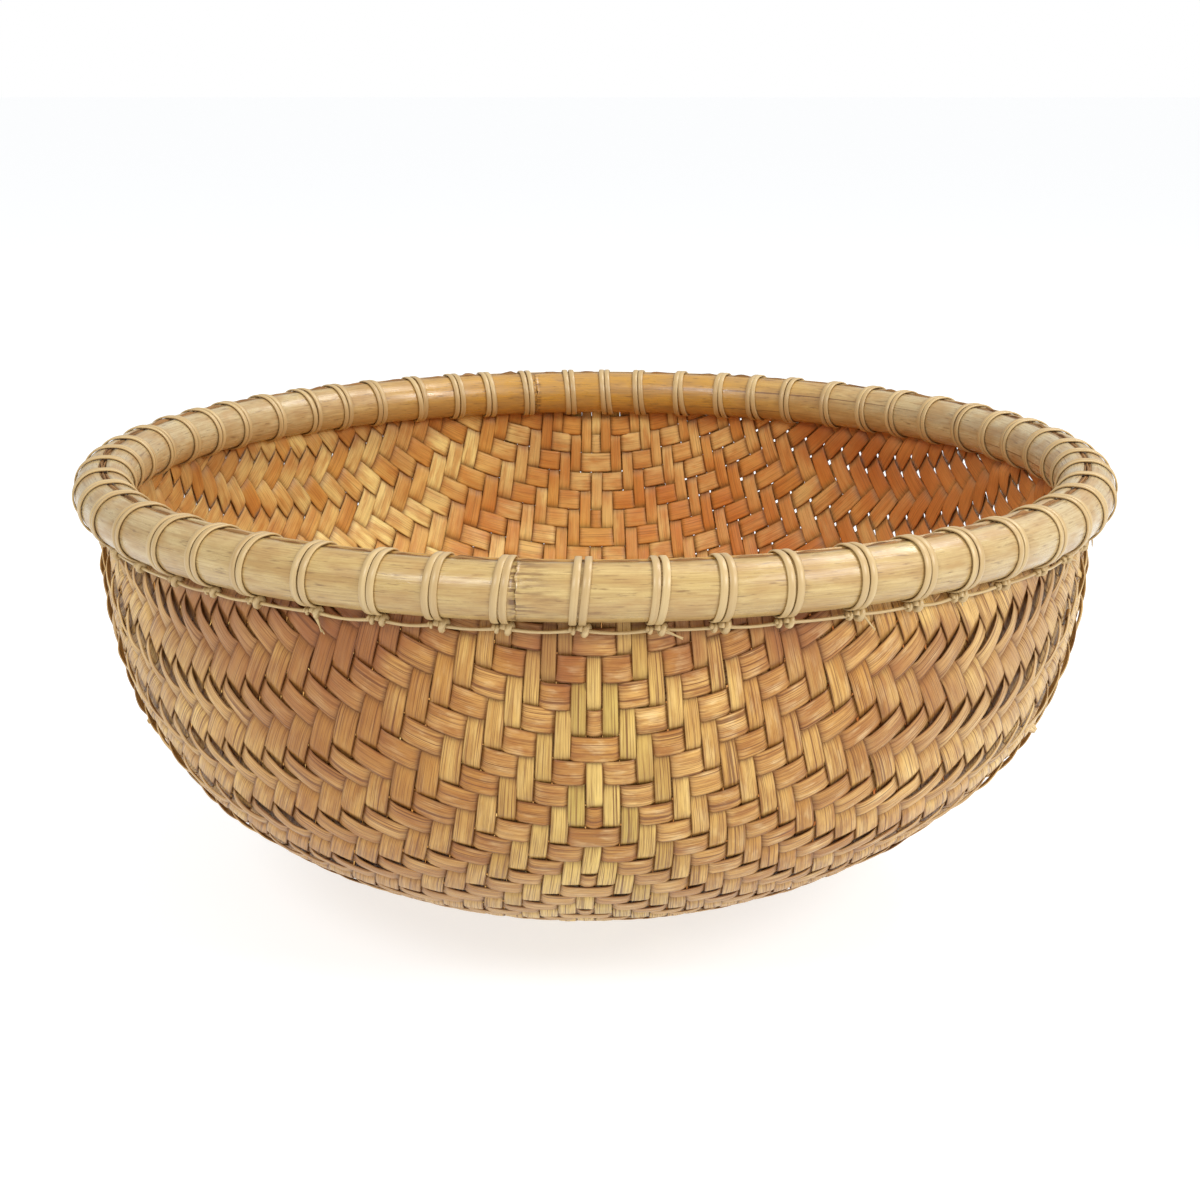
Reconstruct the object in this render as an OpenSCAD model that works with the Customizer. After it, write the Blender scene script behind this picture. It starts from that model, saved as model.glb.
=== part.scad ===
// Winnowing basket: a bowl pressed from one woven mat of split bamboo, its edge
// clamped between two half-round bamboo hoops that are lashed together with cane.
// The origin is the centre of the flat it rests on, +Z is up, -Y is the front.

/* [Bowl] */
// Radius of the mat where it goes up between the hoops
bowl_r = 228.5; // [180:0.5:300]
// Thickness of the woven mat, two crossing splints and the air between them
mat_t = 3; // [2:0.5:4]
// Height of the whole basket, from its rest to the top of the lashings
basket_h = 213; // [170:1:260]
// Height lost where the bottom is pressed flat
flattened_h = 4; // [3:0.5:6]
// How square the shoulder under the rim is; higher means steeper walls
wall_fullness = 2.8; // [2:0.1:3.5]
// How round the bottom is; higher means a flatter bottom
bottom_fullness = 1.7; // [1.4:0.1:2.2]

/* [Rim] */
// Radius of the half-round section of both hoops
hoop_r = 11.5; // [8:0.5:14]
// Angle round the rim of the outer hoop's joint, from the right of the basket
outer_joint_angle = 263; // [0:1:359]
// Angle round the rim of the inner hoop's joint
inner_joint_angle = 99; // [0:1:359]
// Number of strips of filler that hide the mat's edge between the hoops
filler_count = 3; // [2:1:6]
// Height of the filler above the mat's edge
filler_h = 5; // [3:0.5:7]

/* [Lashing] */
// Number of lashings round the rim
lashing_count = 56; // [40:1:56]
// Angle of the first lashing, just left of the front's middle
lashing_start = 268.7; // [265:0.1:275]
// How far the lashings crowd together towards the back, in degrees
crowding = 4.6; // [0:0.1:6]
// How far the lashings spread out at the two sides, in degrees
side_spread = 1.4; // [0:0.1:2]
// How uneven the spacing is, in degrees
unevenness = 0.5; // [0:0.1:0.8]
// Width of one turn of cane
cane_w = 3.1; // [2:0.1:4]
// Thickness of the cane
cane_t = 1.1; // [0.8:0.1:1.5]
// Gap between a lashing's two turns
turn_gap = 0.8; // [0.4:0.1:1.5]
// Radius of the cane that runs on to the next lashing
runner_r = 1; // [0.8:0.1:1.2]
// Radius of the knot under each lashing
knot_r = 2.4; // [2:0.1:3]

/* [Hidden] */
$fn = 64;
profile_steps = 20;
fit_gap = 0.15;
joint_gap = 0.6;
joint_slant = 55;
uneven_step = 97;
knot_drop = 0.4;

hoop_top_z = basket_h - cane_t - 2 * fit_gap;
hoop_mid_z = hoop_top_z - hoop_r;
rim_foot_z = hoop_mid_z - hoop_r;
mat_top_z = hoop_top_z - filler_h - 1;
inner_face_r = bowl_r - mat_t;
rim_r = bowl_r + hoop_r;
turn_angle = cane_w / rim_r * 180 / PI;
turn_shift = (cane_w + turn_gap) / 2;
slot_w = 2 * cane_w + turn_gap + 1;
slot_z = rim_foot_z - 2 * fit_gap - cane_t / 2;
runner_z = rim_foot_z - cane_t - runner_r - 3 * fit_gap;
runner_path_r = bowl_r + runner_r + fit_gap;

function lashing_name(i) = str("rim_lashing_", i < 10 ? "0" : "", i);

// Angle round the rim of lashing i, counted anticlockwise from above
function lashing_angle(i) =
    let (turn = (i - 1) * 360 / lashing_count)
    lashing_start + turn + crowding * sin(turn) - side_spread * sin(2 * turn)
        + unevenness * sin(uneven_step * (i % lashing_count - 1));

// Radius of the bowl at height z, for a bowl of mouth radius r whose full depth ends at bottom_z
function bowl_radius(z, r, bottom_z) =
    let (depth = (rim_foot_z - z) / (rim_foot_z - bottom_z))
    r * pow(max(0, 1 - pow(depth, wall_fullness)), 1 / bottom_fullness);

// Points up the bowl's wall from height low_z to the rim, closer together near the bottom
function wall_points(r, bottom_z, low_z) = [
    for (i = [0 : profile_steps])
        let (z = low_z + (rim_foot_z - low_z) * pow(i / profile_steps, 2))
        [bowl_radius(z, r, bottom_z), z]
];

// Half disc against the mat's face at face_r, to its outside (side = 1) or inside (side = -1)
module half_round(r, face_r, side) {
    intersection() {
        translate([face_r, hoop_mid_z])
            circle(r = r);
        translate([side > 0 ? face_r : face_r - r, hoop_mid_z - r])
            square([r, 2 * r]);
    }
}

// Outline round both hoops, grown by the given amount
module rim_outline(grow) {
    half_round(hoop_r + grow, bowl_r, 1);
    half_round(hoop_r + grow, inner_face_r, -1);
    translate([inner_face_r, hoop_mid_z - hoop_r - grow])
        square([mat_t, 2 * (hoop_r + grow)]);
}

// Slanted saw cut where the two ends of a hoop meet
module joint_cut(angle, r) {
    rotate([0, 0, angle])
        translate([r, 0, hoop_mid_z])
            rotate([0, 0, joint_slant])
                cube([80, joint_gap, 40], center = true);
}

module woven_bowl() {
    color("peru")
        difference() {
            rotate_extrude($fn = 180)
                polygon(concat(
                    [[0, 0]],
                    wall_points(bowl_r, -flattened_h, 0),
                    [[bowl_r, mat_top_z], [inner_face_r, mat_top_z]],
                    [for (i = [profile_steps : -1 : 0])
                        wall_points(inner_face_r, mat_t - flattened_h, mat_t)[i]],
                    [[0, mat_t]]
                ));
            for (i = [1 : lashing_count])
                rotate([0, 0, lashing_angle(i)])
                    translate([bowl_r - mat_t / 2, 0, slot_z])
                        cube([mat_t * 2, slot_w, cane_t + 1], center = true);
        }
}

module outer_hoop() {
    color("burlywood")
        difference() {
            rotate_extrude($fn = 180)
                half_round(hoop_r, bowl_r + fit_gap, 1);
            joint_cut(outer_joint_angle, bowl_r + hoop_r / 2);
        }
}

module inner_hoop() {
    color("wheat")
        difference() {
            rotate_extrude($fn = 180)
                half_round(hoop_r, inner_face_r - fit_gap, -1);
            joint_cut(inner_joint_angle, inner_face_r - hoop_r / 2);
        }
}

module filler_strips() {
    sweep = 360 / filler_count;
    end_gap = 1;
    color("saddlebrown")
        for (i = [0 : filler_count - 1])
            rotate([0, 0, i * sweep + end_gap])
                rotate_extrude(angle = sweep - end_gap, $fn = 180)
                    translate([inner_face_r + fit_gap, mat_top_z + fit_gap])
                        square([mat_t - 2 * fit_gap, filler_h]);
}

// One turn of cane round both hoops and through the mat
module cane_turn() {
    rotate([0, 0, -turn_angle / 2])
        rotate_extrude(angle = turn_angle, $fn = 180)
            difference() {
                rim_outline(2 * fit_gap + cane_t);
                rim_outline(2 * fit_gap);
            }
}

// Two turns side by side, the knot under them, and the cane running on to the next lashing
module rim_lashing(i) {
    knot_angle = (knot_r + fit_gap) / runner_path_r * 180 / PI;
    color("khaki")
        rotate([0, 0, lashing_angle(i)]) {
            for (side = [-1, 1])
                rotate([0, 0, side * turn_shift / rim_r * 180 / PI])
                    cane_turn();
            translate([runner_path_r + knot_r / 2, 0, runner_z - knot_drop])
                sphere(r = knot_r);
            rotate_extrude(angle = lashing_angle(i + 1) - lashing_angle(i) - knot_angle, $fn = 180)
                translate([runner_path_r, runner_z])
                    circle(r = runner_r, $fn = 24);
        }
}

woven_bowl();
outer_hoop();
inner_hoop();
filler_strips();
for (i = [1 : lashing_count])
    rim_lashing(i);
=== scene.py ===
import math
from types import SimpleNamespace

import bpy
import numpy as np
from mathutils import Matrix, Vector


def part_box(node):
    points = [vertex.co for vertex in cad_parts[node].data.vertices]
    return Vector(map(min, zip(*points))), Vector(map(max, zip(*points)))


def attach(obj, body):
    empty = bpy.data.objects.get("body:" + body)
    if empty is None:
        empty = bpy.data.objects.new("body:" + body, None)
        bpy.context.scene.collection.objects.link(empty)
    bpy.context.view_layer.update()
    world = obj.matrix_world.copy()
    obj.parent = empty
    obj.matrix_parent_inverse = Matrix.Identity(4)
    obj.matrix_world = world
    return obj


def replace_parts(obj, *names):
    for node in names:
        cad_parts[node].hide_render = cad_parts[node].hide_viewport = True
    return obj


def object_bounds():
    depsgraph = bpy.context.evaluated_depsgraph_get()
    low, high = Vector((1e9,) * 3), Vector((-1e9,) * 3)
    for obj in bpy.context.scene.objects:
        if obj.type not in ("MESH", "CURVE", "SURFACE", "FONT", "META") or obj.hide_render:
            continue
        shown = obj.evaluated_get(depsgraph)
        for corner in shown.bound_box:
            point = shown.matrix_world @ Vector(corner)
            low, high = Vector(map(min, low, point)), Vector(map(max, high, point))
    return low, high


# Winnowing basket. The bowl is rebuilt splint by splint: a flat twill mat, laid out in
# mat coordinates (u to the right, v to the front), is carried onto the bowl's wall.

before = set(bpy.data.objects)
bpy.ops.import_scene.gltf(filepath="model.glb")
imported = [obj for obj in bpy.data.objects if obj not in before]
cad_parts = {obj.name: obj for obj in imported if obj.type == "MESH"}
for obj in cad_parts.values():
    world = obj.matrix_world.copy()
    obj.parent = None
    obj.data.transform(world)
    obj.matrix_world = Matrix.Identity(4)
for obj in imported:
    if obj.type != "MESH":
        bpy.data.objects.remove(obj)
cad_low, cad_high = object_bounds()
MM = 0.001
rng = np.random.default_rng(20)

# ---- sizes taken from the frame ---------------------------------------------------------

bowl_low, bowl_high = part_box("woven_bowl")
outer_low, outer_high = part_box("outer_hoop")
lashing_names = sorted(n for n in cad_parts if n.startswith("rim_lashing_"))

BOWL_R = (bowl_high.x - bowl_low.x) / 2
MAT_TOP = bowl_high.z
RIM_FOOT = outer_low.z
RIM_MID = (outer_low.z + outer_high.z) / 2
HOOP_R = (outer_high.z - outer_low.z) / 2
RIM_R = (outer_high.x - outer_low.x) / 2
TOP = cad_high.z

# The same dimensions and curve as the part's own source
MAT_T = 3.0 * MM
FIT_GAP = 0.15 * MM
FLATTENED = 4.0 * MM
WALL_FULLNESS = 2.8
BOTTOM_FULLNESS = 1.7
OUTER_JOINT = math.radians(263)
INNER_JOINT = math.radians(99)
INNER_FACE = BOWL_R - MAT_T

# ---- the weave --------------------------------------------------------------------------

WEFT_PITCH = 11.0 * MM
WARP_PITCH = 8.1 * MM
WARP_PITCH_LEFT = 11.2 * MM
WARP_PITCH_RIGHT = 12.6 * MM
# Between these two warps, counted from the middle, the pitch grows to its value at the side
WIDENS_LEFT = (3, 11)
WIDENS_RIGHT = (10, 18)
# Splints laid out to each side of the middle, more than the bowl takes
MOST_LINES = 50
# Number of warps from the middle over which the straw colour fades
YELLOW_WARPS = 5
# The bowl's foot leans to the left, and the lean fades out between these parts of the height
FOOT_LEAN = 4.0 * MM
LEAN_FADE = (0.2, 0.5)

SPLINT_T = 0.75 * MM
# Part of its pitch that a splint fills
FILL = 0.985
FILL_NOISE = 0.012
# Added to that part for the crowded warps at the sides, and where the weave is loose or tight
CROWDED_WARP_FILL = 0.07
LOOSE_FILL = -0.075
TIGHT_FILL = 0.03
# How far a splint rocks and strays at random
TILT_NOISE = 0.14 * MM
SWAY_NOISE = 0.3 * MM
# How far a splint swings out and in, and how far from a change of sides, in crossings, it is
# all the way there
WEAVE_LIFT = 0.85 * MM
SWING = 0.32
# Rise of a float along its length, and of a splint's middle above its edges
FLOAT_ARCH = 0.3 * MM
SPLINT_CROWN = 0.2 * MM
# The same where the wefts are cupped, with how far they tilt and how much narrower they look
CUPPED_ARCH = 1.0 * MM
CUPPED_CROWN = 0.5 * MM
CUPPED_TILT = 0.8 * MM
CUPPED_NARROWING = 0.36
# The weave goes flat from this far below the hoops over this length, and loses part of its swing
FLAT_START = 6 * MM
FLAT_LENGTH = 8 * MM
RIM_SQUEEZE = 0.35
# How much the tone varies from splint to splint and from float to float
OWN_TONE = 0.2
FLOAT_TONE = 0.27
STEPS_PER_CROSSING = 6
SPLINTS_PER_PIECE = 7
BROKEN_ENDS = 6

# A splint's section: places across it, its thickness there, and the ring round both faces
ACROSS = np.array([-1.0, -0.8, 0.0, 0.8, 1.0])
EDGE_THIN = np.array([0.45, 0.9, 1.0, 0.9, 0.45])
BOTH_FACES = np.concatenate([ACROSS, ACROSS[::-1]])
ON_INNER_FACE = np.repeat([0.0, 1.0], len(ACROSS))


def ease(value, low, high):
    """Smooth step from 0 at low to 1 at high."""
    t = np.clip((value - low) / (high - low), 0, 1)
    return t * t * (3 - 2 * t)


def bowl_radius(z):
    """Radius of the bowl's outside at height z."""
    depth = (RIM_FOOT - z) / (RIM_FOOT + FLATTENED)
    return BOWL_R * np.maximum(0, 1 - np.clip(depth, 0, 1) ** WALL_FULLNESS) ** (1 / BOTTOM_FULLNESS)


def profile_tables():
    """Arc length from the middle of the bottom, with radius, height and outward normal there."""
    flat_steps, wall_steps, even_steps, smoothing = 60, 1500, 1200, 41
    z = RIM_FOOT * np.linspace(0, 1, wall_steps) ** 2
    r = bowl_radius(z)
    r = np.concatenate([np.linspace(0, r[0], flat_steps)[:-1], r, [BOWL_R]])
    z = np.concatenate([np.zeros(flat_steps - 1), z, [MAT_TOP]])
    s = np.concatenate([[0], np.cumsum(np.hypot(np.diff(r), np.diff(z)))])
    even = np.linspace(0, s[-1], even_steps)
    r = np.interp(even, s, r)
    z = np.interp(even, s, z)
    kernel = np.hanning(smoothing) / np.hanning(smoothing).sum()

    def smooth_slope(line):
        return np.convolve(np.pad(np.gradient(line, even), smoothing // 2, "edge"), kernel, "valid")

    slope_r = smooth_slope(r)
    slope_z = smooth_slope(z)
    length = np.hypot(slope_r, slope_z)
    return even, r, z, slope_z / length, -slope_r / length


ARC, ARC_R, ARC_Z, ARC_NR, ARC_NZ = profile_tables()
ARC_TOP = ARC[-1]
ARC_FOOT = ARC_TOP - (MAT_TOP - RIM_FOOT)


def on_bowl(u, v, lift):
    """Point of the mat at (u, v), lifted outwards from the middle of its thickness."""
    s = np.hypot(u, v)
    safe = np.maximum(s, 1e-9)
    depth = lift - MAT_T / 2
    r = np.interp(s, ARC, ARC_R) + np.interp(s, ARC, ARC_NR) * depth
    z = np.interp(s, ARC, ARC_Z) + np.interp(s, ARC, ARC_NZ) * depth
    lean = FOOT_LEAN * (1 - ease(z, LEAN_FADE[0] * TOP, LEAN_FADE[1] * TOP))
    return np.stack([r * (u / safe) - lean, -r * (v / safe), np.maximum(z, 0)], -1)


def mat_lines(family):
    """Places of a family's splints across the mat. The warps are narrow at the middle of the mat
    and wider towards both sides, most of all on the right."""
    n = np.arange(MOST_LINES) + 0.5
    if family == "weft":
        right = left = np.full(MOST_LINES, WEFT_PITCH)
    else:
        right = WARP_PITCH + (WARP_PITCH_RIGHT - WARP_PITCH) * ease(n, *WIDENS_RIGHT)
        left = WARP_PITCH + (WARP_PITCH_LEFT - WARP_PITCH) * ease(n, *WIDENS_LEFT)
    return np.concatenate([-np.cumsum(left)[::-1], [0], np.cumsum(right)])


LINES = {family: mat_lines(family) for family in ("warp", "weft")}
LINE_NUMBERS = np.arange(-MOST_LINES, MOST_LINES + 1)


def warp_outside(i, j):
    """Whether warp i passes outside weft j: a 2/2 twill mirrored at both centre lines."""
    return (np.abs(i) + np.abs(j)) % 4 < 2


def weave_path(cell, outside):
    """The side a splint is on, 1 outside or -1 inside, and its distance from the nearest change
    of sides, for places along it counted in crossings."""
    here = np.round(cell)
    sign = np.where(outside(here), 1.0, -1.0)
    reach = []
    for way in (1, -1):
        gap = np.full(cell.shape, 2.5)
        for n in (2, 1):
            changed = outside(here + way * n) != outside(here)
            gap = np.where(changed, n - 0.5, gap)
        reach.append(gap - way * (cell - here))
    return sign, np.minimum(reach[0], reach[1])


def wander(places, step, size):
    """Smooth random line with a new value every step."""
    knots = np.arange(places.min() - step, places.max() + 2 * step, step)
    values = rng.normal(0, size, len(knots))
    return np.interp(places, knots, values)


def crowding(u, v):
    """How hard the wefts are crowded together, which makes them cup and stand on edge: not at all
    at the front and back, fully at the sides."""
    azimuth = np.degrees(np.arctan2(np.abs(u), np.abs(v)))
    return ease(azimuth, 14, 70) * ease(np.hypot(u, v), 0.3 * ARC_FOOT, 0.7 * ARC_FOOT)


def right_and_back(u, v):
    """How far a place lies to the right and the back of the mat, where the weave has opened up.
    With -u for u, to the left and the back, where it is packed tight."""
    return ease(u, 0.08 * ARC_FOOT, 0.4 * ARC_FOOT) * ease(-v, -0.3 * ARC_FOOT, 0.1 * ARC_FOOT)


def strip(u, v, lift, half_t):
    """Points of a thin strip on the bowl: across its outer face, then back across its inner face."""
    outer = on_bowl(u, v, lift + half_t)
    inner = on_bowl(u, v, lift - half_t)
    return np.concatenate([outer, inner[:, ::-1]], 1)


def splint(family, index):
    """Grid of points for one splint, with the values that its material reads."""
    warp = family == "warp"
    lines = LINES[family]
    crossed = LINES["weft" if warp else "warp"]
    spot = index + MOST_LINES
    middle = lines[spot]
    own = (lines[spot + 1] - lines[spot - 1]) / 2
    half = math.sqrt(ARC_TOP**2 - (abs(middle) + own / 2) ** 2)
    ends = np.interp((-half, half), crossed, LINE_NUMBERS)
    cell = np.linspace(ends[0], ends[1], int((ends[1] - ends[0]) * STEPS_PER_CROSSING))
    along = np.interp(cell, LINE_NUMBERS, crossed)
    other = 2 * half / (ends[1] - ends[0])

    def outside(number):
        return warp_outside(index, number) if warp else ~warp_outside(number, index)

    sign, reach = weave_path(cell, outside)
    rise = sign * ease(reach, 0, SWING)
    bulge = sign * np.sin(math.pi / 2 * np.minimum(reach, 1))
    under_rim = np.clip((np.hypot(middle, along) - ARC_FOOT + FLAT_START) / FLAT_LENGTH, 0, 1)
    free = 1 - under_rim
    aside = np.full_like(along, middle)
    place_u, place_v = (aside, along) if warp else (along, aside)
    crowded = crowding(place_u, place_v)
    cupped = (0.0 if warp else 1.0) * crowded * free
    rimward = -1.0 if index < 0 else 1.0

    arch = (FLOAT_ARCH + CUPPED_ARCH * cupped) * (1 + wander(along, other, 0.3))
    lift = WEAVE_LIFT * rise * (1 - RIM_SQUEEZE * under_rim) + arch * bulge * free
    crown = (SPLINT_CROWN + CUPPED_CROWN * cupped) * bulge * free
    tilt = wander(along, 2 * other, TILT_NOISE) * free
    tilt = tilt + rimward * CUPPED_TILT * cupped * bulge * (1 + wander(along, other, 0.35))
    sway = wander(along, 5 * other, SWAY_NOISE) * free
    fill = FILL + rng.normal(0, FILL_NOISE) + wander(along, 4 * other, FILL_NOISE)
    fill = fill + (CROWDED_WARP_FILL * crowded if warp else 0)
    fill = fill + LOOSE_FILL * right_and_back(place_u, place_v)
    fill = fill + TIGHT_FILL * right_and_back(-place_u, place_v)
    narrowed = 1 - CUPPED_NARROWING * cupped * (0.5 + 0.5 * rise)
    wide = own / 2 * fill * narrowed
    sway = sway + rimward * own / 2 * fill * (1 - narrowed) * 0.5

    spread = wide[:, None] * ACROSS + middle + sway[:, None]
    run = np.repeat(along[:, None], len(ACROSS), 1)
    face = lift[:, None] + crown[:, None] * (1 - ACROSS**2) + tilt[:, None] * ACROSS
    u, v = (spread, run) if warp else (run, spread)
    points = strip(u, v, face, SPLINT_T / 2 * EDGE_THIN)

    floats = np.cumsum(np.abs(np.diff(sign, prepend=sign[0])) > 0)
    own_tone = rng.normal(0.5, OWN_TONE)
    tone = np.clip(own_tone + rng.normal(0, FLOAT_TONE, floats[-1] + 1)[floats], 0, 1)
    values = {
        "along": along[:, None] + rng.uniform(0, 5),
        "across": wide[:, None] * BOTH_FACES,
        "edge": np.abs(BOTH_FACES),
        "inner": (0.5 - 0.5 * rise)[:, None] * ON_INNER_FACE,
        "shade": (1 - np.minimum(reach, 1))[:, None],
        "lifted": cupped[:, None],
        "tone": tone[:, None],
        "yellow": np.exp(-((index / YELLOW_WARPS) ** 2)) if warp else 0.0,
        "seed": rng.uniform(0, 40),
    }
    return points, values


def tube_faces(rings, around, first, closed=False):
    """Quads that join each ring of points to the next, and the last to the first if closed."""
    ring = np.arange(rings if closed else rings - 1)[:, None]
    side = np.arange(around)[None, :]
    a = ring * around + side
    b = ring * around + (side + 1) % around
    following = ((ring + 1) % rings) * around
    quads = np.stack([a, b, following + (side + 1) % around, following + side], -1).reshape(-1, 4)
    return quads + first


def flat_caps(rings, across, first):
    """Both end caps of a tube whose ring runs out along one side and back along the other."""
    caps = []
    for base, flip in ((0, True), ((rings - 1) * 2 * across, False)):
        for k in range(across - 1):
            quad = [base + k, base + k + 1, base + 2 * across - 2 - k, base + 2 * across - 1 - k]
            caps.append(quad[::-1] if flip else quad)
    return np.array(caps) + first


class Soup:
    """Collects points, quads and per-point values, and makes one mesh object of them."""

    def __init__(self):
        self.points = []
        self.quads = []
        self.values = {}
        self.count = 0

    def add(self, points, quads, **values):
        """Add rings of points, with values that spread over them as numpy broadcasts."""
        self.points.append(points.reshape(-1, 3))
        self.quads.append(quads)
        for name, value in values.items():
            self.values.setdefault(name, []).append(np.broadcast_to(value, points.shape[:-1]).reshape(-1))
        self.count += points[..., 0].size

    def add_strip(self, points, values):
        """Add a strip of the weave, with its two ends closed."""
        rings, around = points.shape[:2]
        quads = tube_faces(rings, around, self.count)
        caps = flat_caps(rings, around // 2, self.count)
        self.add(points, np.concatenate([quads, caps]), **values)

    def make(self, name, material):
        """The finished mesh object, riding on the basket's one body."""
        points = np.concatenate(self.points)
        quads = np.concatenate(self.quads)
        mesh = bpy.data.meshes.new(name)
        mesh.vertices.add(len(points))
        mesh.vertices.foreach_set("co", points.astype(np.float32).ravel())
        mesh.loops.add(quads.size)
        mesh.loops.foreach_set("vertex_index", quads.astype(np.int32).ravel())
        mesh.polygons.add(len(quads))
        mesh.polygons.foreach_set("loop_start", np.arange(0, quads.size, 4, dtype=np.int32))
        mesh.polygons.foreach_set("use_smooth", np.ones(len(quads), bool))
        for key, parts in self.values.items():
            layer = mesh.attributes.new(key, "FLOAT", "POINT")
            layer.data.foreach_set("value", np.concatenate(parts).astype(np.float32))
        mesh.update(calc_edges=True)
        mesh.validate()
        mesh.materials.append(material)
        obj = bpy.data.objects.new(name, mesh)
        bpy.context.scene.collection.objects.link(obj)
        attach(obj, "root")
        return obj


# ---- materials --------------------------------------------------------------------------


class Nodes:
    """Short helpers to build a node material."""

    def __init__(self, name):
        self.material = bpy.data.materials.new(name)
        self.material.use_nodes = True
        self.tree = self.material.node_tree
        self.tree.nodes.clear()
        output = self.tree.nodes.new("ShaderNodeOutputMaterial")
        self.shader = self.tree.nodes.new("ShaderNodeBsdfPrincipled")
        self.tree.links.new(self.shader.outputs[0], output.inputs[0])

    def put(self, socket, value):
        if isinstance(value, bpy.types.NodeSocket):
            self.tree.links.new(value, socket)
        else:
            socket.default_value = value

    def put_color(self, socket, value):
        self.put(socket, value if isinstance(value, bpy.types.NodeSocket) else (*value, 1.0))

    def attribute(self, name):
        node = self.tree.nodes.new("ShaderNodeAttribute")
        node.attribute_name = name
        return node.outputs["Fac"]

    def place(self):
        return self.tree.nodes.new("ShaderNodeTexCoord").outputs["Object"]

    def vector(self, x, y, z):
        node = self.tree.nodes.new("ShaderNodeCombineXYZ")
        for socket, value in zip(node.inputs, (x, y, z)):
            self.put(socket, value)
        return node.outputs[0]

    def split(self, vector):
        node = self.tree.nodes.new("ShaderNodeSeparateXYZ")
        self.put(node.inputs[0], vector)
        return node.outputs

    def math(self, operation, a, b=0.0):
        node = self.tree.nodes.new("ShaderNodeMath")
        node.operation = operation
        self.put(node.inputs[0], a)
        self.put(node.inputs[1], b)
        return node.outputs[0]

    def times(self, a, b):
        return self.math("MULTIPLY", a, b)

    def plus(self, a, b):
        return self.math("ADD", a, b)

    def most(self, a, b):
        return self.math("MAXIMUM", a, b)

    def noise(self, vector, scale, detail):
        node = self.tree.nodes.new("ShaderNodeTexNoise")
        self.put(node.inputs["Vector"], vector)
        self.put(node.inputs["Scale"], scale)
        self.put(node.inputs["Detail"], detail)
        self.put(node.inputs["Roughness"], 0.55)
        return node.outputs["Fac"]

    def scale(self, value, low, high, to_low=0.0, to_high=1.0):
        node = self.tree.nodes.new("ShaderNodeMapRange")
        for socket, number in zip(node.inputs, (value, low, high, to_low, to_high)):
            self.put(socket, number)
        return node.outputs[0]

    def mix(self, factor, a, b):
        node = self.tree.nodes.new("ShaderNodeMix")
        node.data_type = "RGBA"
        self.put(node.inputs[0], factor)
        self.put_color(node.inputs[6], a)
        self.put_color(node.inputs[7], b)
        return node.outputs[2]

    def bump(self, height, distance, strength):
        node = self.tree.nodes.new("ShaderNodeBump")
        self.put(node.inputs["Height"], height)
        self.put(node.inputs["Distance"], distance)
        self.put(node.inputs["Strength"], strength)
        return node.outputs[0]

    def finish(self, color, roughness, normal=None):
        self.put_color(self.shader.inputs["Base Color"], color)
        self.put(self.shader.inputs["Roughness"], roughness)
        if normal is not None:
            self.put(self.shader.inputs["Normal"], normal)
        return self.material


def streaks(n, along, across, seed, length, width, detail=2.0):
    """Noise drawn out along a splint: the length and the width that one streak takes."""
    place = n.vector(n.times(along, 1 / length), n.times(across, 1 / width), seed)
    return n.noise(place, 1.0, detail)


# In the materials below, x and z are in metres, and noise and attributes run from 0 to 1

# Colours of the weave's outside
# Worn pale on the crests of the floats, partly a painted sheen
RUBBED_AND_SHEEN = (0.88, 0.66, 0.34)
STRAW_PALE = (0.78, 0.57, 0.17)
STRAW_DULL = (0.56, 0.44, 0.11)
# Paler tone at the far sides, a painted sheen, and the paler tone of the foot
PALE_SIDE_SHEEN_AND_FOOT = (0.68, 0.48, 0.20)
# Painted highlight on the lifted edges of the cupped wefts
CUPPED_HIGHLIGHT = (0.76, 0.55, 0.26)
# Stains under the rim, darkened further as painted shade below the hoop
RIM_STAIN_AND_SHADE = (0.26, 0.08, 0.028)

# Colours of its varnished inside
AMBER_PALE = (0.87, 0.67, 0.25)
AMBER_DEEP = (0.68, 0.36, 0.085)
AMBER_STAIN = (0.52, 0.20, 0.035)
RED_STAIN = (0.50, 0.17, 0.03)
RED_VARNISH = (0.61, 0.145, 0.018)
WORN_VARNISH = (0.85, 0.48, 0.15)
# Stains under the rim inside, darkened further as painted shade below the hoops
LINING_STAIN_AND_RIM_SHADE = (0.30, 0.085, 0.016)

# Colours of the lines along a splint and of its splits, and of the painted shade at its edges,
# partly dirt there too, and at its buried ends
FIBRE = (0.19, 0.065, 0.014)
SPLIT_DIRT_AND_SHADE = (0.13, 0.036, 0.009)


def splint_grain(n):
    """What both sides of a splint share: its place, its streaks and how the weave holds it."""
    along, across, seed = n.attribute("along"), n.attribute("across"), n.attribute("seed")
    x, _, z = n.split(n.place())
    return SimpleNamespace(
        x=x,
        z=z,
        aside=n.math("ABSOLUTE", x),
        tone=n.attribute("tone"),
        shade=n.attribute("shade"),
        edge=n.attribute("edge"),
        lifted=n.attribute("lifted"),
        thin=streaks(n, along, across, seed, 26 * MM, 0.42 * MM, 3.0),
        broad=streaks(n, along, across, seed, 110 * MM, 1.5 * MM),
        stain=streaks(n, along, across, seed, 19 * MM, 5 * MM, 4.0),
        split=streaks(n, along, across, n.plus(seed, 50.0), 160 * MM, 1.1 * MM, 1.0),
        worn=streaks(n, along, across, n.plus(seed, 90.0), 14 * MM, 4 * MM, 4.0),
        blotch=n.noise(n.place(), 17, 3.0),
    )


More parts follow.
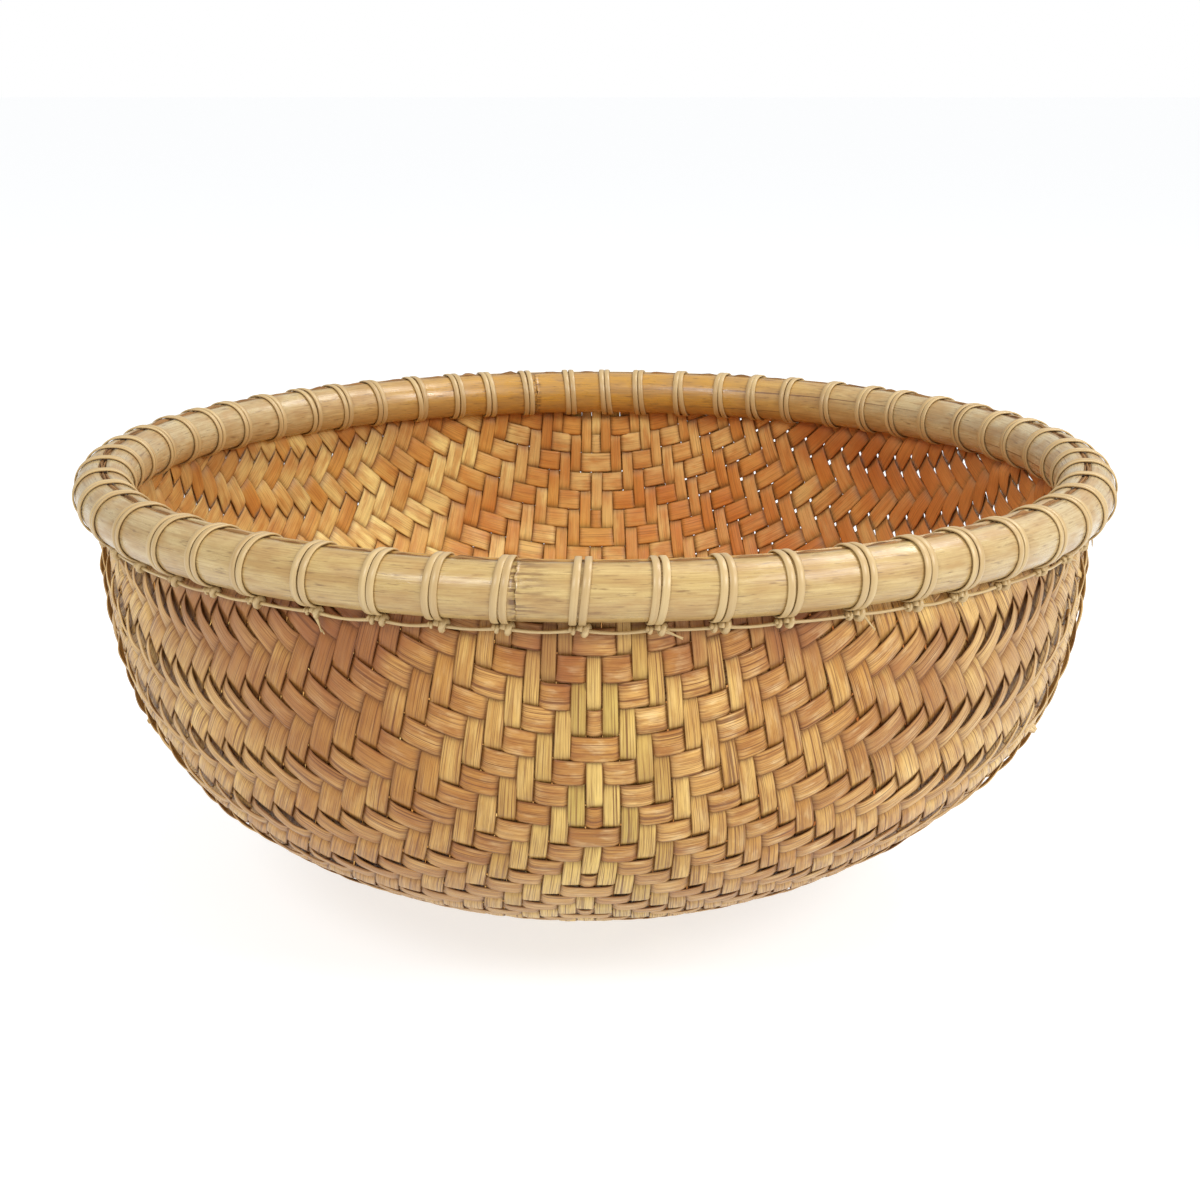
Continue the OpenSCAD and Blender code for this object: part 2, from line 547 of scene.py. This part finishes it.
def outside_color(n, grain, pale, mid, dark, rub_and_sheen):
    """The weathered outside: stained, darkest left and right of the middle, worn pale on the
    crests with a painted sheen, straw at the middle warps, paler at the far sides with a painted
    sheen and paler at the foot, painted highlights on the cupped wefts, and stains with painted
    shade under the rim."""
    color = n.mix(n.scale(grain.tone, 0.1, 0.9), pale, mid)
    color = n.mix(n.times(n.scale(grain.broad, 0.42, 0.6), 0.5), color, mid)
    color = n.mix(n.times(n.scale(grain.stain, 0.44, 0.62), 0.62), color, dark)
    warm_left = n.times(n.scale(grain.x, 0.02, -0.06), n.scale(grain.x, -0.17, -0.12))
    warm_right = n.times(n.scale(grain.x, 0.04, 0.07), n.scale(grain.x, 0.13, 0.1, 0, 0.7))
    warm = n.plus(n.scale(grain.blotch, 0.44, 0.6), n.plus(warm_left, warm_right))
    color = n.mix(n.times(warm, 0.42), color, dark)
    # Painted sheen on the crest of each float, stronger towards the right, on top of real wear
    crest_wear_and_sheen = n.times(n.math("SUBTRACT", 1.0, grain.shade), n.scale(grain.worn, 0.5, 0.64))
    crest_wear_and_sheen = n.times(crest_wear_and_sheen, n.scale(grain.x, -0.1, 0.06, 0.3, 1.0))
    color = n.mix(n.times(crest_wear_and_sheen, rub_and_sheen), color, RUBBED_AND_SHEEN)
    straw = n.mix(n.scale(grain.tone, 0.55, 0.75), STRAW_PALE, STRAW_DULL)
    color = n.mix(n.times(n.attribute("yellow"), 0.6), color, straw)
    # Painted sheen: paler towards the far left and right, more on the right; paler at the foot too
    far_side = n.times(n.scale(grain.aside, 0.12, 0.21), n.scale(grain.x, -0.1, 0.1, 0.5, 0.75))
    foot = n.times(n.scale(grain.z, 0.08, 0.02), 0.5)
    color = n.mix(n.most(far_side, foot), color, PALE_SIDE_SHEEN_AND_FOOT)
    # Painted highlight where the wefts are cupped and their edges lift
    color = n.mix(n.times(grain.lifted, 0.35), color, CUPPED_HIGHLIGHT)
    # Stains with painted shade under the rim, in blotches, not at the far sides
    under_rim = n.times(n.scale(grain.z, 0.11, 0.18), n.scale(grain.blotch, 0.42, 0.58))
    under_rim = n.times(under_rim, n.scale(grain.aside, 0.23, 0.16))
    return n.mix(n.times(under_rim, 0.6), color, RIM_STAIN_AND_SHADE)


def lining_color(n, grain):
    """The amber varnished inside: stained, redder towards the right, worn at the far right and
    stained under the rim, with painted shade there below the hoops."""
    color = n.mix(n.scale(grain.tone, 0.2, 0.8), AMBER_PALE, AMBER_DEEP)
    color = n.mix(n.times(n.scale(grain.stain, 0.44, 0.62), 0.55), color, AMBER_STAIN)
    reddened = n.scale(n.noise(n.place(), 24, 4.0), 0.48, 0.64)
    color = n.mix(n.times(reddened, 0.55), color, RED_STAIN)
    red_side = n.scale(n.plus(n.times(grain.x, 2.6), grain.blotch), 0.3, 1.0)
    color = n.mix(n.times(red_side, 0.85), color, RED_VARNISH)
    color = n.mix(n.times(n.scale(grain.x, 0.14, 0.21), 0.4), color, WORN_VARNISH)
    # Stains with painted shade under the rim, in blotches
    stain_and_shade_under_rim = n.times(n.scale(grain.z, 0.125, 0.19), n.scale(grain.blotch, 0.38, 0.54))
    return n.mix(n.times(stain_and_shade_under_rim, 0.62), color, LINING_STAIN_AND_RIM_SHADE)


def splint_material(name, pale, mid, dark, rub_and_sheen):
    """Split bamboo: pale, mid and dark colours of the outside and how far its crests are worn pale
    with a painted sheen, with the varnished inside, fibres along it, dark splits, dark edges that
    are partly dirt and partly painted shade, and painted shade at the crossings where it dives under."""
    n = Nodes(name)
    grain = splint_grain(n)
    inner = n.attribute("inner")
    color = n.mix(inner, outside_color(n, grain, pale, mid, dark, rub_and_sheen), lining_color(n, grain))
    line = n.times(n.scale(grain.thin, 0.48, 0.62), n.scale(inner, 0, 1, 0.66, 0.3))
    color = n.mix(line, color, FIBRE)
    # Painted shade where a splint dives under its neighbour, read from the shade attribute
    painted_shade_at_crossings = n.times(n.math("POWER", grain.shade, 9.0), 0.8)
    # Dark edges: partly dirt, partly painted shade between the splints
    edge_dirt_and_shade = n.times(n.scale(grain.edge, 0.86, 1.0), n.scale(inner, 0, 1, 0.7, 0.4))
    edge_dirt_and_shade = n.times(edge_dirt_and_shade, n.scale(grain.lifted, 0, 1, 1.0, 0.3))
    gash = n.times(n.scale(grain.split, 0.62, 0.66), n.scale(inner, 0, 1, 0.7, 0.25))
    color = n.mix(n.most(n.most(painted_shade_at_crossings, edge_dirt_and_shade), gash), color, SPLIT_DIRT_AND_SHADE)
    rough = n.scale(grain.broad, 0.3, 0.7, 0.36, 0.52)
    height = n.plus(n.times(grain.thin, -0.7), n.times(grain.broad, 0.6))
    n.put(n.shader.inputs["Specular IOR Level"], 0.3)
    return n.finish(color, rough, n.bump(height, 0.25 * MM, 0.9))


def hoop_material(name, pale, deep, amber, cracked):
    """Half-round bamboo: pale straw with long grain and darker blotches, half gloss, turning to
    amber in the middle and cracked on the right, with painted shade on its lower half and a
    painted sheen, paler and less yellow, towards the far sides."""
    n = Nodes(name)
    along, across, mark = n.attribute("along"), n.attribute("across"), n.attribute("mark")
    thin = streaks(n, along, across, 3.0, 20 * MM, 0.6 * MM, 3.0)
    broad = streaks(n, along, across, 4.0, 90 * MM, 3.8 * MM, 4.0)
    stain = streaks(n, along, across, 8.0, 24 * MM, 9 * MM, 5.0)
    fleck = streaks(n, along, across, 5.0, 11 * MM, 1.4 * MM, 4.0)
    crack = streaks(n, along, across, 12.0, 300 * MM, 2.0 * MM, 1.0)
    x, _, z = n.split(n.place())
    aside = n.math("ABSOLUTE", x)
    color = n.mix(n.scale(broad, 0.34, 0.66), pale, deep)
    middle = n.times(n.scale(aside, 0.17, 0.06), amber)
    color = n.mix(middle, color, (0.52, 0.26, 0.034))
    # Painted sheen: paler and less yellow towards the far sides of the hoop, more on the right
    side_sheen = n.times(n.scale(aside, 0.11, 0.22), n.scale(x, -0.1, 0.1, 0.5, 0.7))
    color = n.mix(side_sheen, color, (0.52, 0.43, 0.27))
    # Painted shade: browner on the lower half of the hoop, which faces down
    color = n.mix(n.times(n.scale(z, RIM_MID, RIM_FOOT), 0.3), color, (0.40, 0.22, 0.06))
    color = n.mix(n.times(n.scale(stain, 0.44, 0.6), 0.6), color, (0.38, 0.205, 0.06))
    color = n.mix(n.times(n.scale(thin, 0.46, 0.62), 0.4), color, (0.28, 0.15, 0.05))
    speck = n.times(n.scale(fleck, 0.58, 0.68), 0.6)
    near_joint = n.times(mark, n.scale(fleck, 0.45, 0.58))
    color = n.mix(n.most(speck, near_joint), color, (0.15, 0.07, 0.025))
    cracks = n.times(n.scale(crack, 0.63, 0.67), n.scale(x, 0.02, 0.09))
    color = n.mix(n.times(cracks, cracked), color, (0.13, 0.05, 0.015))
    rough = n.scale(stain, 0.35, 0.65, 0.2, 0.48)
    height = n.plus(n.times(stain, 1.6), n.times(thin, 0.4))
    n.put(n.shader.inputs["Coat Weight"], 0.2)
    n.put(n.shader.inputs["Coat Roughness"], 0.18)
    return n.finish(color, rough, n.bump(height, 0.4 * MM, 0.8))


def cane_material(name):
    """Lashing cane: light straw with a few fine lines along it, each lashing with its own tone."""
    n = Nodes(name)
    along, across, seed = n.attribute("along"), n.attribute("across"), n.attribute("seed")
    thin = streaks(n, along, across, seed, 38 * MM, 0.45 * MM)
    broad = streaks(n, along, across, seed, 110 * MM, 2 * MM)
    tone = n.math("FRACT", n.times(seed, 5.7))
    color = n.mix(n.scale(broad, 0.3, 0.7), (0.60, 0.44, 0.21), (0.47, 0.32, 0.14))
    color = n.mix(n.times(tone, 0.4), color, (0.38, 0.23, 0.09))
    color = n.mix(n.times(n.scale(thin, 0.56, 0.74), 0.35), color, (0.35, 0.22, 0.10))
    return n.finish(color, 0.38, n.bump(broad, 0.12 * MM, 0.6))


def filler_material(name):
    """Dark bark strips in the groove between the hoops."""
    n = Nodes(name)
    along, across, seed = n.attribute("along"), n.attribute("across"), n.attribute("seed")
    thin = streaks(n, along, across, seed, 38 * MM, 0.55 * MM)
    broad = streaks(n, along, across, seed, 60 * MM, 1.7 * MM)
    color = n.mix(n.scale(broad, 0.35, 0.65), (0.30, 0.14, 0.045), (0.10, 0.038, 0.012))
    color = n.mix(n.times(n.scale(thin, 0.45, 0.6), 0.6), color, (0.42, 0.25, 0.10))
    n.put(n.shader.inputs["Specular IOR Level"], 0.15)
    return n.finish(color, 0.6, n.bump(thin, 0.2 * MM, 0.8))


WARP_WOOD = splint_material(
    "warp_bamboo", pale=(0.78, 0.51, 0.16), mid=(0.58, 0.30, 0.07), dark=(0.36, 0.14, 0.024), rub_and_sheen=0.3
)
WEFT_WOOD = splint_material(
    "weft_bamboo", pale=(0.74, 0.45, 0.145), mid=(0.54, 0.26, 0.055), dark=(0.32, 0.105, 0.016), rub_and_sheen=0.5
)
OUTER_WOOD = hoop_material(
    "outer_hoop_bamboo", pale=(0.58, 0.42, 0.175), deep=(0.46, 0.305, 0.105), amber=0.0, cracked=0.0
)
INNER_WOOD = hoop_material(
    "inner_hoop_bamboo", pale=(0.58, 0.44, 0.205), deep=(0.45, 0.31, 0.12), amber=0.9, cracked=0.75
)
CANE = cane_material("lashing_cane")
BARK = filler_material("filler_bark")

# ---- the bowl's splints -----------------------------------------------------------------


def weave(family):
    """All splints of one family, a few neighbours to a piece."""
    longest = ARC_TOP - 1.5 * WEFT_PITCH
    indices = [int(n) for n, place in zip(LINE_NUMBERS, LINES[family]) if abs(place) < longest]
    groups = [indices[k : k + SPLINTS_PER_PIECE] for k in range(0, len(indices), SPLINTS_PER_PIECE)]
    material = WARP_WOOD if family == "warp" else WEFT_WOOD
    for number, group in enumerate(groups, 1):
        soup = Soup()
        for index in group:
            soup.add_strip(*splint(family, index))
        piece = soup.make(f"{family}_splints_{number:02d}", material)
        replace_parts(piece, "woven_bowl")


def broken_ends(name, side):
    """A few warps have snapped at one side of the basket (1 right, -1 left), and their tapered
    ends stick out of the weave."""
    soup = Soup()
    t = np.linspace(0, 1, 7)[:, None]
    for _ in range(BROKEN_ENDS):
        azimuth = math.radians(rng.uniform(-5, 28))
        s = rng.uniform(0.7, 0.97) * ARC_FOOT
        length = rng.uniform(9, 14) * MM
        half = rng.uniform(1.6, 2.6) * MM
        way = rng.choice([-1, 1])
        slant = rng.uniform(-1.2, 1.2)
        width = half * (1 - 0.5 * t**2)
        run = way * t * length + ACROSS * width * slant * t
        u = side * s * math.cos(azimuth) + ACROSS * width + slant * MM * t**2
        v = s * math.sin(azimuth) + run
        lift = 0.7 * MM + rng.uniform(1.2, 3.2) * MM * t**1.5
        values = {
            "along": t * length,
            "across": BOTH_FACES * half,
            "edge": np.abs(BOTH_FACES),
            "inner": 0.0,
            "shade": 0.2,
            "lifted": 1.0,
            "tone": rng.uniform(0.1, 0.6),
            "yellow": 0.0,
            "seed": rng.uniform(0, 40),
        }
        soup.add_strip(strip(u, v, lift, SPLINT_T / 2), values)
    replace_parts(soup.make(name, WARP_WOOD), "woven_bowl")


weave("warp")
weave("weft")
broken_ends("broken_ends_right", 1)
broken_ends("broken_ends_left", -1)

# ---- the rim's hoops --------------------------------------------------------------------

HOOP_RINGS = 900
HOOP_SECTION = 22
HOOP_SWELL = 0.012
LAP = 45 * MM
LAP_SWELL = 0.055
# Angles from a hoop's joint to the joints of the bamboo it is made from, and their ridge
BAMBOO_NODES = (0.9, 2.2, 3.4, 4.5, 5.6)
RIDGE_W = 1.6 * MM
RIDGE_SWELL = 0.02
RAGGED_END = 0.35 * MM
# Rings at the two ends of a hoop that are marked dark by its joint
START_RINGS = 12
END_RINGS = 2


def hoop(name, material, face_r, side, joint, radius):
    """A half-round hoop against the mat's face, with ragged ends, swollen where they lap and at
    the bamboo's own joints."""
    turn = np.linspace(0, 2 * math.pi, HOOP_RINGS)
    arc = turn * face_r
    swell = 1 + wander(arc, 60 * MM, HOOP_SWELL)
    swell = swell + LAP_SWELL * np.clip(1 - (2 * math.pi - turn) * face_r / LAP, 0, 1)
    ridge = sum(np.exp(-(((turn - at) * face_r) / RIDGE_W) ** 2) for at in BAMBOO_NODES)
    swell = swell + RIDGE_SWELL * ridge
    section = np.linspace(-math.pi / 2, math.pi / 2, HOOP_SECTION)
    angle = np.repeat(joint + turn[:, None], HOOP_SECTION, 1)
    ragged = rng.normal(0, RAGGED_END, HOOP_SECTION) / face_r
    angle[-1] += ragged
    angle[0] += ragged
    r = face_r + side * (FIT_GAP + np.cos(section) * radius * swell[:, None])
    z = np.broadcast_to(RIM_MID + np.sin(section) * radius, r.shape)
    points = np.stack([r * np.cos(angle), r * np.sin(angle), z], -1)
    mark = np.zeros((HOOP_RINGS, 1))
    mark[:START_RINGS, 0] = np.linspace(0.8, 0, START_RINGS)
    mark[-END_RINGS:] = 0.9
    caps = flat_caps(HOOP_RINGS, HOOP_SECTION // 2, 0)
    quads = np.concatenate([tube_faces(HOOP_RINGS, HOOP_SECTION, 0), caps[:, ::-1]])
    if side < 0:
        quads = quads[:, ::-1]
    across = np.linspace(0, math.pi * radius, HOOP_SECTION)
    soup = Soup()
    soup.add(points, quads, along=arc[:, None], across=across, mark=mark)
    piece = soup.make(name + "_bamboo", material)
    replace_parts(piece, name)


hoop("outer_hoop", OUTER_WOOD, BOWL_R, 1, OUTER_JOINT, HOOP_R - FIT_GAP)
hoop("inner_hoop", INNER_WOOD, INNER_FACE, -1, INNER_JOINT, HOOP_R - FIT_GAP)


def knot_angle(name):
    """Angle round the rim of a lashing's knot, the lowest place of its CAD solid."""
    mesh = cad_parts[name].data
    co = np.array([vertex.co for vertex in mesh.vertices])
    low = co[co[:, 2] < co[:, 2].min() + 0.05 * MM].mean(0)
    return math.atan2(low[1], low[0])


knot_angles = np.array([knot_angle(name) for name in lashing_names])

# ---- the filler in the groove between the hoops -----------------------------------------

FILLER_T = 0.8 * MM
FILLER_RINGS = 700
# Rings over which a strip's end is led back to its start
FILLER_BLEND = 20
# Depth of the strips' top below the lashings, and how far they stand up between two of them
FILLER_DEPTH = 1.7 * MM
FILLER_RISE = 0.4 * MM
# Places of the four corners of its section, for the grain
FILLER_ACROSS = np.array([0.0, 2.0, 6.0, 9.0]) * MM
# Shift of each strip from the middle of the mat, and how much lower it stands
FILLER_PLACES = ((-1.0 * MM, 0.5 * MM), (0.05 * MM, 0.0), (1.05 * MM, 0.2 * MM))


def filler(number, r, drop):
    """One bark strip standing in the groove between the hoops."""
    turn = np.linspace(0, 2 * math.pi, FILLER_RINGS, endpoint=False)
    arc = turn * r
    wave = wander(arc, 14 * MM, 0.3 * MM)
    to_lashing = np.abs((turn[:, None] - knot_angles + math.pi) % (2 * math.pi) - math.pi).min(1)
    free = ease(to_lashing * r, 4 * MM, 9 * MM)
    top = TOP - FILLER_DEPTH - drop + free * (FILLER_RISE + wander(arc, 9 * MM, 0.5 * MM))
    for line in (wave, top):
        line[-FILLER_BLEND:] = np.linspace(line[-FILLER_BLEND], line[0], FILLER_BLEND)
    near = r - FILLER_T / 2 + wave
    far = r + FILLER_T / 2 + wave
    foot = np.full_like(top, MAT_TOP)
    ring_r = np.stack([near, far, far, near], 1)
    ring_z = np.stack([foot, foot, top, top], 1)
    angle = turn[:, None]
    points = np.stack([ring_r * np.cos(angle), ring_r * np.sin(angle), ring_z], -1)
    quads = tube_faces(FILLER_RINGS, len(FILLER_ACROSS), 0, closed=True)
    soup = Soup()
    soup.add(points, quads, along=arc[:, None], across=FILLER_ACROSS, seed=number)
    return soup.make(f"filler_strip_{number}", BARK)


for number, (shift, drop) in enumerate(FILLER_PLACES, 1):
    strip_of_bark = filler(number, BOWL_R - MAT_T / 2 + shift, drop)
    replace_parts(strip_of_bark, "filler_strips")

# ---- the lashings -----------------------------------------------------------------------

CANE_W = 3.1 * MM
CANE_T = 0.9 * MM
CANE_GAP = 0.25 * MM
TURN_GAP = 0.05 * MM
TURN_SLANT = 1.0 * MM
# Section of the flat cane: places across it and its height there, with a flat inner face
CANE_ACROSS = np.array([-1, -0.8, 0, 0.8, 1, 0.8, -0.8]) * CANE_W / 2
CANE_HEIGHT = np.array([0.55, 0.9, 1.0, 0.9, 0.55, 0.0, 0.0]) * CANE_T
LOOP_STEPS = 28
KNOT_R = BOWL_R + 2.2 * MM
KNOT_Z = RIM_FOOT - 2.6 * MM
# Angles from a lashing to its two knots, and how much shorter the cane that runs on is than
# the angle to the next lashing
BIG_KNOT_AT = 1.6 * MM / RIM_R
SMALL_KNOT_AT = -2.8 * MM / RIM_R
RUNNER_SHORT = 4.2 * MM / RIM_R
RUNNER_R = 0.85 * MM
RUNNER_SAG = 0.9 * MM
TAIL_R = 0.6 * MM
# How many loose tails a lashing has, one of these at random
TAIL_COUNTS = [0, 0, 0, 0, 1, 2]


def rim_loop(grow):
    """Closed outline round both hoops, grown by an amount: radius and height, with its normal."""
    reach = HOOP_R + grow
    half_turn = np.linspace(-math.pi / 2, math.pi / 2, LOOP_STEPS)
    out, up = np.cos(half_turn), np.sin(half_turn)
    back, down = out[::-1], up[::-1]
    outer = np.stack([BOWL_R + out * reach, RIM_MID + up * reach], 1)
    inner = np.stack([INNER_FACE - back * reach, RIM_MID + down * reach], 1)
    normal = np.concatenate([np.stack([out, up], 1), np.stack([-back, down], 1)])
    return np.concatenate([outer, inner]), normal


def cane_turn(soup, angle, slant, seed):
    """One turn of flat cane round both hoops: convex outside, flat inside."""
    path, normal = rim_loop(CANE_GAP)
    lean = slant * (path[:, 1] - RIM_MID) / HOOP_R
    r = path[:, 0, None] + normal[:, 0, None] * CANE_HEIGHT
    z = path[:, 1, None] + normal[:, 1, None] * CANE_HEIGHT
    a = angle + (CANE_ACROSS + lean[:, None]) / RIM_R
    points = np.stack([r * np.cos(a), r * np.sin(a), z], -1)
    length = np.concatenate([[0], np.cumsum(np.hypot(*np.diff(path, axis=0).T))])
    quads = tube_faces(len(path), len(CANE_ACROSS), soup.count, closed=True)[:, ::-1]
    soup.add(points, quads, along=length[:, None], across=CANE_ACROSS, seed=seed)


def cord_tube(soup, centres, radius, seed, around=7):
    """Round tube along a line of points."""
    way = np.gradient(centres, axis=0)
    way /= np.linalg.norm(way, axis=1)[:, None]
    side = np.cross(way, (0.0, 0.0, 1.0))
    side /= np.maximum(np.linalg.norm(side, axis=1)[:, None], 1e-9)
    lift = np.cross(side, way)
    turn = np.linspace(0, 2 * math.pi, around, endpoint=False)
    radius = np.broadcast_to(radius, len(centres))
    ring = side[:, None] * np.cos(turn)[:, None] + lift[:, None] * np.sin(turn)[:, None]
    points = centres[:, None] + ring * radius[:, None, None]
    length = np.concatenate([[0], np.cumsum(np.linalg.norm(np.diff(centres, axis=0), axis=1))])
    quads = tube_faces(len(centres), around, soup.count)
    soup.add(points, quads, along=length[:, None], across=radius[:, None] * turn, seed=seed)


def around_rim(angle, r, z):
    """Points at these angles, radii and heights."""
    return np.stack([r * np.cos(angle), r * np.sin(angle), z + 0 * angle], -1)


def tail(soup, angle, r, z, seed):
    """A loose end of cane that hangs out below the rim."""
    t = np.linspace(0, 1, 8)
    reach = rng.uniform(7, 15) * MM
    way = rng.uniform(0.3, 1.2)
    a = angle + t * reach * math.sin(way) / r
    lift = r + 1.2 * MM * t + rng.normal(0, 0.8 * MM) * t * t
    centres = around_rim(a, lift, z - t * reach * math.cos(way) * 0.7)
    cord_tube(soup, centres, TAIL_R * (1 - 0.6 * t), seed, 5)


def knot(soup, angle, r, z, size, seed):
    """A loop and a half of cane pulled tight into a bead."""
    steps = 22
    t = np.linspace(0, 3 * math.pi, steps)
    spread = np.linspace(-0.6, 0.6, steps) * size
    a = angle + spread / r
    centres = around_rim(a, r + np.cos(t) * size * 0.55, z + np.sin(t) * size * 0.6)
    cord_tube(soup, centres, size * 0.48, seed)


def runner(soup, angle, gap, seed):
    """The cane that runs on below the rim to the next lashing, sagging a little."""
    t = np.linspace(0, 1, 14)
    bow = np.sin(math.pi * t)
    sag = -RUNNER_SAG * bow * rng.uniform(0.2, 1.2)
    run_angle = angle + BIG_KNOT_AT + t * (gap - RUNNER_SHORT)
    centres = around_rim(run_angle, KNOT_R - 0.3 * MM, KNOT_Z - 0.3 * MM + sag)
    cord_tube(soup, centres, RUNNER_R * (1 - 0.25 * bow), seed)


def lashing(name, angle, gap):
    """One lashing: two turns of cane, a big and a small knot below them, the cane that runs on to
    the next lashing, and now and then a loose tail."""
    soup = Soup()
    seed = rng.uniform(0, 30)
    for way in (-1, 1):
        offset = way * (CANE_W + TURN_GAP + abs(rng.normal(0, 0.45 * MM))) / 2
        cane_turn(soup, angle + offset / RIM_R, TURN_SLANT + rng.normal(0, 0.3 * MM), seed + way)
    knot(soup, angle + BIG_KNOT_AT, KNOT_R, KNOT_Z, rng.uniform(2.4, 3.0) * MM, seed)
    knot(soup, angle + SMALL_KNOT_AT, KNOT_R, KNOT_Z - 0.3 * MM, rng.uniform(1.3, 2.0) * MM, seed)
    runner(soup, angle, gap, seed)
    for _ in range(rng.choice(TAIL_COUNTS)):
        tail(soup, angle + rng.uniform(-2, 4) * MM / RIM_R, KNOT_R, KNOT_Z, seed)
    piece = soup.make(name.replace("rim_lashing", "cane_lashing"), CANE)
    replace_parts(piece, name)


gaps = (np.roll(knot_angles, -1) - knot_angles) % (2 * math.pi)
for name, angle, gap in zip(lashing_names, knot_angles, gaps):
    lashing(name, angle, gap)

# ---- floor, light and camera ------------------------------------------------------------

FLOOR_HALF = 12
FLOOR_COLOR = (0.43, 0.46, 0.49)
FLOOR_GLOW = (1, 0.99, 0.98, 1)
FLOOR_GLOW_STRENGTH = 0.7
# Strength of the room's light, and of the room as the camera sees it
ROOM_LIGHT = 0.57
ROOM_SEEN = 1.0
# The camera's place from the middle of the basket's top, its tilt below level and its lens
CAMERA_PLACE = (0.0022, -1.008, 0.1902)
CAMERA_TILT = 0.2586
CAMERA_LENS = 65.1


def stage_floor():
    """A pale table that glows a little, so that the bowl's underside isn't dark."""
    corners = [(x * FLOOR_HALF, y * FLOOR_HALF, 0) for x, y in ((-1, -1), (1, -1), (1, 1), (-1, 1))]
    mesh = bpy.data.meshes.new("floor")
    mesh.from_pydata(corners, [], [(0, 1, 2, 3)])
    n = Nodes("floor_white")
    n.put(n.shader.inputs["Emission Color"], FLOOR_GLOW)
    n.put(n.shader.inputs["Emission Strength"], FLOOR_GLOW_STRENGTH)
    mesh.materials.append(n.finish(FLOOR_COLOR, 0.9))
    floor = bpy.data.objects.new("floor", mesh)
    bpy.context.scene.collection.objects.link(floor)


def area_light(name, place, size, power):
    """A round soft light aimed at the middle of the bowl."""
    data = bpy.data.lights.new(name, "AREA")
    data.shape = "DISK"
    data.size = size
    data.energy = power
    light = bpy.data.objects.new(name, data)
    light.location = place
    light.rotation_euler = (Vector((0, 0, TOP / 2)) - light.location).to_track_quat("-Z", "Y").to_euler()
    bpy.context.scene.collection.objects.link(light)


def studio():
    """A white room that the camera sees as pure white, and three soft lights."""
    world = bpy.data.worlds.new("studio")
    bpy.context.scene.world = world
    world.use_nodes = True
    tree = world.node_tree
    background = tree.nodes["Background"]
    background.inputs["Color"].default_value = (1, 1, 1, 1)
    seen = tree.nodes.new("ShaderNodeLightPath").outputs["Is Camera Ray"]
    strength = tree.nodes.new("ShaderNodeMapRange")
    strength.inputs["To Min"].default_value = ROOM_LIGHT
    strength.inputs["To Max"].default_value = ROOM_SEEN
    tree.links.new(seen, strength.inputs["Value"])
    tree.links.new(strength.outputs[0], background.inputs["Strength"])
    area_light("key", (-1.0, -1.5, 1.7), size=0.8, power=20)
    area_light("fill", (1.4, -1.1, 1.3), size=0.8, power=24)
    area_light("top", (0.9, 0.5, 1.8), size=1.0, power=19)
    bpy.context.scene.view_settings.view_transform = "Standard"


def camera():
    """The photograph's view: a long lens, a little above the rim, looking down at the bowl."""
    data = bpy.data.cameras.new("camera")
    data.sensor_width = 36
    data.lens = CAMERA_LENS
    data.clip_start = 0.01
    cam = bpy.data.objects.new("camera", data)
    cam.location = Vector(CAMERA_PLACE) + Vector((0, 0, TOP))
    cam.rotation_euler = (math.pi / 2 - CAMERA_TILT, 0, 0)
    bpy.context.scene.collection.objects.link(cam)
    bpy.context.scene.camera = cam


stage_floor()
studio()
camera()
